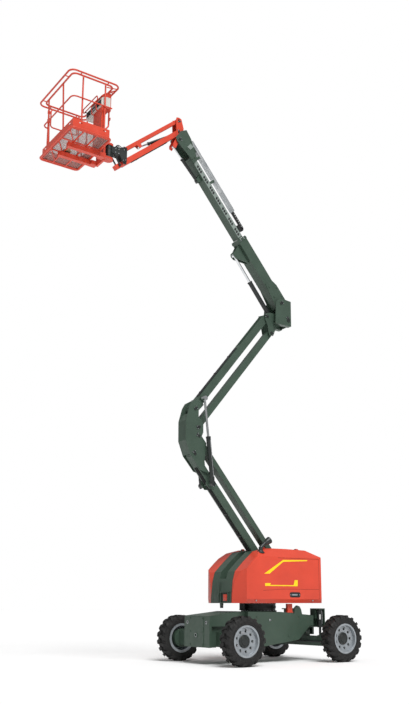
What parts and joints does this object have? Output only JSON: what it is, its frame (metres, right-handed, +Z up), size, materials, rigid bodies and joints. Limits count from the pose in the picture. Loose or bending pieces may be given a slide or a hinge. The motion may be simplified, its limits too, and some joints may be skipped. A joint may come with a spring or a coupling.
{
  "type": "articulating boom lift",
  "caption": "Wheeled articulating boom lift with slewing turret, two-stage folding tower, telescoping boom, levelled jib and railed work platform.",
  "frame": {"origin": "on the floor, in the middle of the machine's length and width as it stands raised; the slew axis is 1.5 m towards -X", "axes": "+X towards the work platform, +Y the left side with the engine, +Z up"},
  "size_m": [6.096, 2.29, 10.4122],
  "materials": {
    "frame_green": "satin",
    "cover_red": "gloss",
    "black_paint": "satin",
    "cast_green": "painted",
    "engine_grey": "rough",
    "rim_grey": "satin silver",
    "tyre_black": "matt",
    "rod_chrome": "polished",
    "tray_grey": "satin",
    "chain_black": "matt",
    "panel_grey": "satin",
    "deck_grey": "perforated sheet"
  },
  "bodies": {
    "chassis": {"chassis_frame": "frame_green", "front_axle": "frame_green", "rear_axle": "frame_green", "oscillation_cylinders": "black_paint", "slew_ring": "black_paint", "turntable_lock": "cover_red"},
    "tie_rod": {"tie_rod": "black_paint"},
    "knuckle_left": {"knuckle_left": "frame_green"},
    "knuckle_right": {"knuckle_right": "frame_green"},
    "front_wheel_left": {"tyre_front_left": "tyre_black", "rim_front_left": "rim_grey"},
    "front_wheel_right": {"tyre_front_right": "tyre_black", "rim_front_right": "rim_grey"},
    "rear_wheel_left": {"tyre_rear_left": "tyre_black", "rim_rear_left": "rim_grey"},
    "rear_wheel_right": {"tyre_rear_right": "tyre_black", "rim_rear_right": "rim_grey"},
    "turret": {"turret_frame": "frame_green", "counterweight": "cast_green", "engine_block": "engine_grey", "slew_motor": "black_paint", "slew_stop": "black_paint"},
    "left_cover": {"cover_left": "cover_red", "exhaust": "black_paint"},
    "right_cover": {"cover_right": "cover_red"},
    "lower_boom": {"lower_boom": "frame_green"},
    "lower_link": {"lower_link": "frame_green"},
    "mid_upright": {"mid_upright": "frame_green"},
    "riser": {"riser_boom": "frame_green"},
    "riser_link": {"riser_link": "frame_green"},
    "upper_upright": {"upper_upright": "frame_green"},
    "tower_barrels": {"tower_cylinder_barrels": "black_paint"},
    "tower_rods": {"tower_cylinder_rods": "rod_chrome"},
    "main_boom": {"main_boom": "frame_green"},
    "lift_barrel": {"lift_cylinder_barrel": "black_paint"},
    "lift_rod": {"lift_cylinder_rod": "rod_chrome"},
    "fly": {"fly_boom": "frame_green", "cable_tray": "tray_grey", "cable_chain": "chain_black"},
    "jib_upright": {"jib_upright": "cover_red"},
    "level_barrel": {"level_cylinder_barrel": "black_paint"},
    "level_rod": {"level_cylinder_rod": "rod_chrome"},
    "jib_boom": {"jib_boom": "cover_red"},
    "jib_link": {"jib_link": "cover_red"},
    "jib_bracket": {"jib_bracket": "black_paint", "bracket_toe": "cover_red"},
    "jib_barrel": {"jib_cylinder_barrel": "black_paint"},
    "jib_rod": {"jib_cylinder_rod": "rod_chrome"},
    "platform": {"platform_mount": "cover_red", "platform_floor": "cover_red", "platform_deck": "deck_grey", "platform_rails": "cover_red", "control_console": "panel_grey", "console_stand": "cover_red"},
    "gate": {"platform_gate": "cover_red"}
  },
  "joints": [
    {"name": "steer_left", "type": "hinge", "parent": "chassis", "child": "knuckle_left", "pos_m": [-2.615, 0.8, 0.41], "axis": [0, 0, 1], "range_deg": [-40, 40]},
    {"name": "steer_right", "type": "hinge", "parent": "chassis", "child": "knuckle_right", "pos_m": [-2.615, -0.8, 0.41], "axis": [0, 0, 1], "range_deg": [-40, 40]},
    {"name": "front_wheel_spin_left", "type": "hinge", "parent": "chassis", "child": "front_wheel_left", "pos_m": [-0.385, 1.0175, 0.415], "axis": [0, 1, 0], "continuous": true},
    {"name": "rear_wheel_spin_left", "type": "hinge", "parent": "knuckle_left", "child": "rear_wheel_left", "pos_m": [-2.615, 1.0175, 0.415], "axis": [0, 1, 0], "continuous": true},
    {"name": "front_wheel_spin_right", "type": "hinge", "parent": "chassis", "child": "front_wheel_right", "pos_m": [-0.385, -1.0175, 0.415], "axis": [0, 1, 0], "continuous": true},
    {"name": "rear_wheel_spin_right", "type": "hinge", "parent": "knuckle_right", "child": "rear_wheel_right", "pos_m": [-2.615, -1.0175, 0.415], "axis": [0, 1, 0], "continuous": true},
    {"name": "slew", "type": "hinge", "parent": "chassis", "child": "turret", "pos_m": [-1.5, 0, 1], "axis": [0, 0, 1], "range_deg": [-177.5, 177.5]},
    {"name": "cover_left_open", "type": "hinge", "parent": "turret", "child": "left_cover", "pos_m": [-1.5, 0.321, 2.034], "axis": [1, 0, 0], "range_deg": [0, 65]},
    {"name": "cover_right_open", "type": "hinge", "parent": "turret", "child": "right_cover", "pos_m": [-1.5, -0.321, 2.034], "axis": [-1, 0, 0], "range_deg": [0, 65]},
    {"name": "tower_lift", "type": "hinge", "parent": "turret", "child": "lower_boom", "pos_m": [-1.72, 0, 1.575], "axis": [0, -1, 0], "range_deg": [-48.5, 17.5]},
    {"name": "link_swing", "type": "hinge", "parent": "turret", "child": "lower_link", "pos_m": [-1.81, 0, 1.915], "axis": [0, -1, 0], "range_deg": [-49, 18]},
    {"name": "mid_upright_level", "type": "hinge", "parent": "lower_boom", "child": "mid_upright", "pos_m": [0.03049, 0, 3.69851], "axis": [0, -1, 0], "range_deg": [-18, 49]},
    {"name": "riser_lift", "type": "hinge", "parent": "mid_upright", "child": "riser", "pos_m": [0.03049, 0, 4.53851], "axis": [0, -1, 0], "range_deg": [-18, 49]},
    {"name": "riser_link_swing", "type": "hinge", "parent": "mid_upright", "child": "riser_link", "pos_m": [-0.05951, 0, 4.20851], "axis": [0, -1, 0], "range_deg": [-18, 49]},
    {"name": "upper_upright_level", "type": "hinge", "parent": "riser", "child": "upper_upright", "pos_m": [-1.7014, 0, 6.67722], "axis": [0, -1, 0], "range_deg": [-49, 18]},
    {"name": "tower_cylinder_swing", "type": "hinge", "parent": "lower_boom", "child": "tower_barrels", "pos_m": [-0.32417, 0, 3.16923], "axis": [0, -1, 0], "range_deg": [-13.13, 35.52]},
    {"name": "tower_cylinder_stroke", "type": "slide", "parent": "tower_barrels", "child": "tower_rods", "axis": [0.1171, 0, 0.9931], "range_m": [-0.5433, 0.1973]},
    {"name": "main_lift", "type": "hinge", "parent": "upper_upright", "child": "main_boom", "pos_m": [-1.9884, 0, 6.99322], "axis": [0, -1, 0], "range_deg": [-48.3, 24.7]},
    {"name": "lift_cylinder_swing", "type": "hinge", "parent": "upper_upright", "child": "lift_barrel", "pos_m": [-1.9144, 0, 6.65122], "axis": [0, -1, 0], "range_deg": [-44.03, 22.76]},
    {"name": "lift_cylinder_stroke", "type": "slide", "parent": "lift_barrel", "child": "lift_rod", "axis": [0.626, 0, 0.7799], "range_m": [-0.261, 0.1345]},
    {"name": "fly_extend", "type": "slide", "parent": "main_boom", "child": "fly", "axis": [0.6388, 0, 0.7694], "range_m": [-1, 0]},
    {"name": "jib_upright_level", "type": "hinge", "parent": "fly", "child": "jib_upright", "pos_m": [0.44198, 0, 9.92219], "axis": [0, -1, 0], "range_deg": [-25.2, 48.8]},
    {"name": "level_cylinder_swing", "type": "hinge", "parent": "fly", "child": "level_barrel", "pos_m": [-0.04633, 0, 9.21504], "axis": [0, -1, 0], "range_deg": [-0.89, 0.7]},
    {"name": "level_cylinder_stroke", "type": "slide", "parent": "level_barrel", "child": "level_rod", "axis": [0.7022, 0, 0.712], "range_m": [-0.0669, 0.1289]},
    {"name": "jib_lift", "type": "hinge", "parent": "jib_upright", "child": "jib_boom", "pos_m": [0.44598, 0, 10.09119], "axis": [0, -1, 0], "range_deg": [-19, 106]},
    {"name": "jib_link_swing", "type": "hinge", "parent": "jib_upright", "child": "jib_link", "pos_m": [0.44698, 0, 10.35919], "axis": [0, -1, 0], "range_deg": [-19.5, 106.5]},
    {"name": "jib_bracket_level", "type": "hinge", "parent": "jib_boom", "child": "jib_bracket", "pos_m": [1.61427, 0, 9.07561], "axis": [0, -1, 0], "range_deg": [-106.5, 19.5]},
    {"name": "jib_cylinder_swing", "type": "hinge", "parent": "jib_boom", "child": "jib_barrel", "pos_m": [0.58363, 0, 9.99803], "axis": [0, -1, 0], "range_deg": [-4.74, 1.26]},
    {"name": "tie_rod_swing", "type": "hinge", "parent": "knuckle_left", "child": "tie_rod", "pos_m": [-2.44, 0.8, 0.352], "axis": [0, 0, 1], "range_deg": [-40.5, 40.5]},
    {"name": "jib_cylinder_stroke", "type": "slide", "parent": "jib_barrel", "child": "jib_rod", "axis": [0.8285, 0, -0.56], "range_m": [-0.0819, 0.4477]},
    {"name": "platform_swing", "type": "hinge", "parent": "jib_bracket", "child": "platform", "pos_m": [1.92, 0, 9.2], "axis": [0, 0, 1], "range_deg": [-90, 90]},
    {"name": "gate_swing", "type": "hinge", "parent": "platform", "child": "gate", "pos_m": [2.88, -0.615, 9.9], "axis": [0, 0, -1], "range_deg": [0, 85]}
  ],
  "couplings": [
    {"joint": "steer_right", "follows": "steer_left", "ratio": 1},
    {"joint": "link_swing", "follows": "tower_lift", "ratio": 1},
    {"joint": "mid_upright_level", "follows": "tower_lift", "ratio": -1},
    {"joint": "riser_lift", "follows": "tower_lift", "ratio": -1},
    {"joint": "riser_link_swing", "follows": "tower_lift", "ratio": -1},
    {"joint": "upper_upright_level", "follows": "tower_lift", "ratio": 1},
    {"joint": "tower_cylinder_swing", "follows": "tower_lift", "ratio": -0.72199},
    {"joint": "tower_cylinder_stroke", "follows": "tower_lift", "m_per_rad": 0.63949},
    {"joint": "lift_cylinder_swing", "follows": "main_lift", "ratio": 0.90116},
    {"joint": "lift_cylinder_stroke", "follows": "main_lift", "m_per_rad": 0.30726},
    {"joint": "jib_upright_level", "follows": "main_lift", "ratio": -1},
    {"joint": "level_cylinder_swing", "follows": "main_lift", "ratio": 0.00808},
    {"joint": "level_cylinder_stroke", "follows": "main_lift", "m_per_rad": -0.15048},
    {"joint": "jib_link_swing", "follows": "jib_lift", "ratio": 1},
    {"joint": "jib_bracket_level", "follows": "jib_lift", "ratio": -1},
    {"joint": "jib_cylinder_swing", "follows": "jib_lift", "ratio": -0.04},
    {"joint": "tie_rod_swing", "follows": "steer_left", "ratio": -1},
    {"joint": "jib_cylinder_stroke", "follows": "jib_lift", "m_per_rad": 0.2409}
  ]
}
